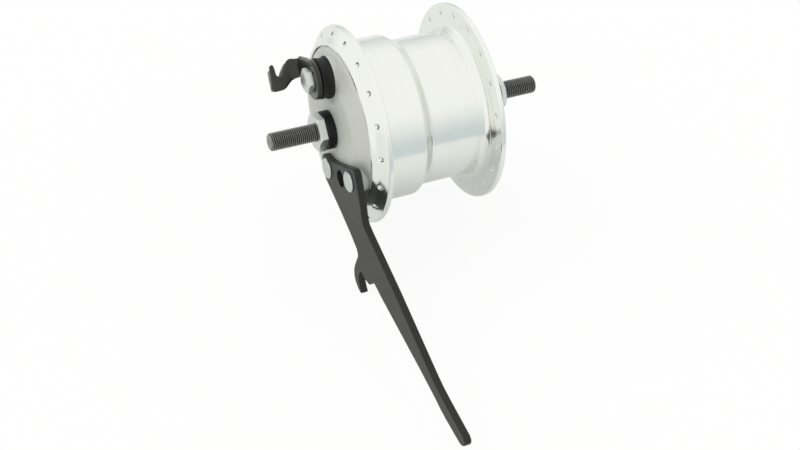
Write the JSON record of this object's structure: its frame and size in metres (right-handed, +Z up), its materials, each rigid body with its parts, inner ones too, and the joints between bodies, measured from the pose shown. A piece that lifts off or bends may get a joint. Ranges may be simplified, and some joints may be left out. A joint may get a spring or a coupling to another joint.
{
  "type": "hub dynamo",
  "caption": "Bicycle front hub with a polished shell, a dynamo in its narrower half, a drum brake in its wider half, a cable lever and a long black reaction arm.",
  "frame": {"origin": "on the axle's axis, midway between the two locknut faces", "axes": "+Y along the axle from the brake side to the dynamo side, +Z up as pictured, +X towards the free end of the reaction arm"},
  "size_m": [0.218, 0.142, 0.1092],
  "materials": {
    "phosphated_steel": "dark phosphated thread",
    "zinc_steel": "clear zinc plating",
    "black_plastic": "matte moulded",
    "plate_alloy": "satin blasted",
    "black_paint": "satin black paint",
    "bright_steel": "turned or pressed, bare",
    "bearing_steel": "ground and polished",
    "cream_plastic": "moulded",
    "copper": "enamelled copper wire",
    "lead_sleeve": "flexible sleeve",
    "tinned_brass": "tinned",
    "shell_alloy": "polished",
    "drum_iron": "machined",
    "seal_rubber": "matte",
    "ferrite": "sintered ferrite",
    "cage_brass": "pressed",
    "shoe_alloy": "as cast",
    "lining": "moulded friction lining"
  },
  "bodies": {
    "axle_assembly": {"axle": "phosphated_steel", "left_locknut": "zinc_steel", "left_collar": "black_plastic", "brake_plate": "plate_alloy", "reaction_arm": "black_paint", "reaction_arm_rivets": "zinc_steel", "fulcrum_pin": "bright_steel", "cam_bush": "black_plastic", "plate_spacer": "bright_steel", "left_inner_race": "bearing_steel", "right_inner_race": "bearing_steel", "stator_left_claws": "bright_steel", "stator_right_claws": "bright_steel", "stator_core": "bright_steel", "coil_bobbin": "cream_plastic", "coil_winding": "copper", "coil_leads": "lead_sleeve", "right_spacer": "bright_steel", "terminal_block": "black_plastic", "terminals": "tinned_brass", "right_locknut": "zinc_steel"},
    "hub": {"hub_shell": "shell_alloy", "drum_liner": "drum_iron", "left_outer_race": "bearing_steel", "right_outer_race": "bearing_steel", "left_seal": "seal_rubber", "right_seal": "seal_rubber", "magnet_yoke": "bright_steel", "magnets": "ferrite", "end_cap": "shell_alloy", "end_cap_screws": "zinc_steel"},
    "left_bearing": {"left_balls": "bearing_steel", "left_cage": "cage_brass"},
    "right_bearing": {"right_balls": "bearing_steel", "right_cage": "cage_brass"},
    "lever": {"brake_lever": "black_paint", "cam_spindle": "bright_steel", "lever_washer": "zinc_steel", "lever_bolt": "zinc_steel"},
    "front_brake_shoe": {"front_shoe": "shoe_alloy", "front_lining": "lining", "return_spring": "bright_steel"},
    "rear_brake_shoe": {"rear_shoe": "shoe_alloy", "rear_lining": "lining"}
  },
  "joints": [
    {"name": "hub_spin", "type": "hinge", "parent": "axle_assembly", "child": "hub", "pos_m": [0, 0, 0], "axis": [0, 1, 0], "continuous": true},
    {"name": "left_cage_spin", "type": "hinge", "parent": "axle_assembly", "child": "left_bearing", "pos_m": [0, 0, 0], "axis": [0, 1, 0], "continuous": true},
    {"name": "right_cage_spin", "type": "hinge", "parent": "axle_assembly", "child": "right_bearing", "pos_m": [0, 0, 0], "axis": [0, 1, 0], "continuous": true},
    {"name": "lever_pull", "type": "hinge", "parent": "axle_assembly", "child": "lever", "pos_m": [-0.0065, 0, 0.0271], "axis": [0, -1, 0], "range_deg": [0, 22], "stiffness_Nm_per_rad": 0.6, "springref_deg": -11.46},
    {"name": "front_shoe_pivot", "type": "hinge", "parent": "axle_assembly", "child": "front_brake_shoe", "pos_m": [0.0071, 0, -0.0184], "axis": [0, 1, 0], "range_deg": [0, 2], "deforming": ["return_spring"]},
    {"name": "rear_shoe_pivot", "type": "hinge", "parent": "axle_assembly", "child": "rear_brake_shoe", "pos_m": [0.0071, 0, -0.0184], "axis": [0, -1, 0], "range_deg": [0, 2], "deforming": ["return_spring"]}
  ],
  "couplings": [
    {"joint": "left_cage_spin", "follows": "hub_spin", "ratio": 0.61},
    {"joint": "right_cage_spin", "follows": "hub_spin", "ratio": 0.61},
    {"joint": "front_shoe_pivot", "follows": "lever_pull", "ratio": 0.0864},
    {"joint": "rear_shoe_pivot", "follows": "lever_pull", "ratio": 0.0864}
  ]
}
